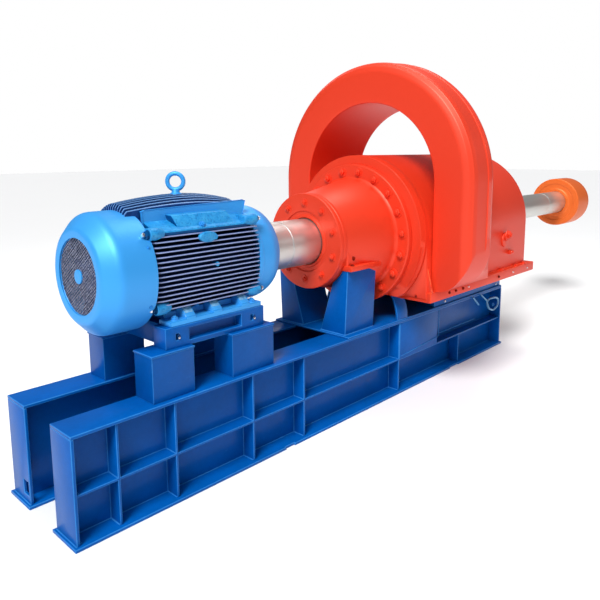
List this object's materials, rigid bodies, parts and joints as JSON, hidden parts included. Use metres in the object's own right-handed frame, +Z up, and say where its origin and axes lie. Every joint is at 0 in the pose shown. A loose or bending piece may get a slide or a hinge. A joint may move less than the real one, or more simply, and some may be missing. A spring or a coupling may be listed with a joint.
{
  "type": "motor-driven horizontal turbine set on steel skid",
  "caption": "Horizontal turbine with scroll ring, bearing housing, electric motor, long tail shaft and coupling hub on a twin-girder steel skid",
  "frame": {"origin": "on the floor under the middle of the whole set", "axes": "+X along the shaft from the motor to the coupling hub, +Z up, +Y to the far side"},
  "size_m": [7.187, 1.932, 2.671],
  "materials": {
    "base_blue": "gloss royal-blue paint on welded plate",
    "motor_blue": "gloss sky-blue paint on castings and pressed sheet",
    "turbine_red": "gloss red-orange paint on castings",
    "hub_orange": "worn orange paint on a turned hub",
    "polished_steel": "ground and polished shaft steel",
    "grille_steel": "dark wire mesh"
  },
  "bodies": {
    "machine": {"bearing_cover": "turbine_red", "bearing_housing": "turbine_red", "bed_channel_drive_end": "base_blue", "bed_channel_fan_end": "base_blue", "casing": "turbine_red", "casing_end_cover": "turbine_red", "cross_beam_1": "base_blue", "cross_beam_2": "base_blue", "cross_beam_3": "base_blue", "cross_beam_4": "base_blue", "deck_plate": "base_blue", "drive_end_shield": "motor_blue", "eyebolt": "motor_blue", "fan_cowl": "motor_blue", "fan_end_shield": "motor_blue", "fan_grille": "grille_steel", "far_bearing_pedestal": "base_blue", "far_bed_rail": "base_blue", "far_bottom_plate": "base_blue", "far_drive_end_pedestal": "base_blue", "far_fan_end_pedestal": "base_blue", "far_foot_flange": "turbine_red", "far_motor_end_plate": "base_blue", "far_motor_foot": "motor_blue", "far_sole_block": "base_blue", "far_stiffeners": "base_blue", "far_top_plate": "base_blue", "far_turbine_end_plate": "base_blue", "far_web": "base_blue", "motor_frame": "motor_blue", "near_bearing_pedestal": "base_blue", "near_bed_rail": "base_blue", "near_bottom_plate": "base_blue", "near_drive_end_pedestal": "base_blue", "near_fan_end_pedestal": "base_blue", "near_foot_flange": "turbine_red", "near_motor_end_plate": "base_blue", "near_motor_foot": "motor_blue", "near_sole_block": "base_blue", "near_stiffeners": "base_blue", "near_top_plate": "base_blue", "near_turbine_end_plate": "base_blue", "near_web": "base_blue", "saddle_arch": "base_blue", "scroll_ring": "turbine_red", "terminal_box": "motor_blue"},
    "rotor": {"coupling_hub": "hub_orange", "motor_fan": "motor_blue", "shaft": "polished_steel"}
  },
  "joints": [
    {"name": "rotor_spin", "type": "hinge", "parent": "machine", "child": "rotor", "pos_m": [1.9235, 0, 1.294], "axis": [1, 0, 0], "continuous": true}
  ]
}
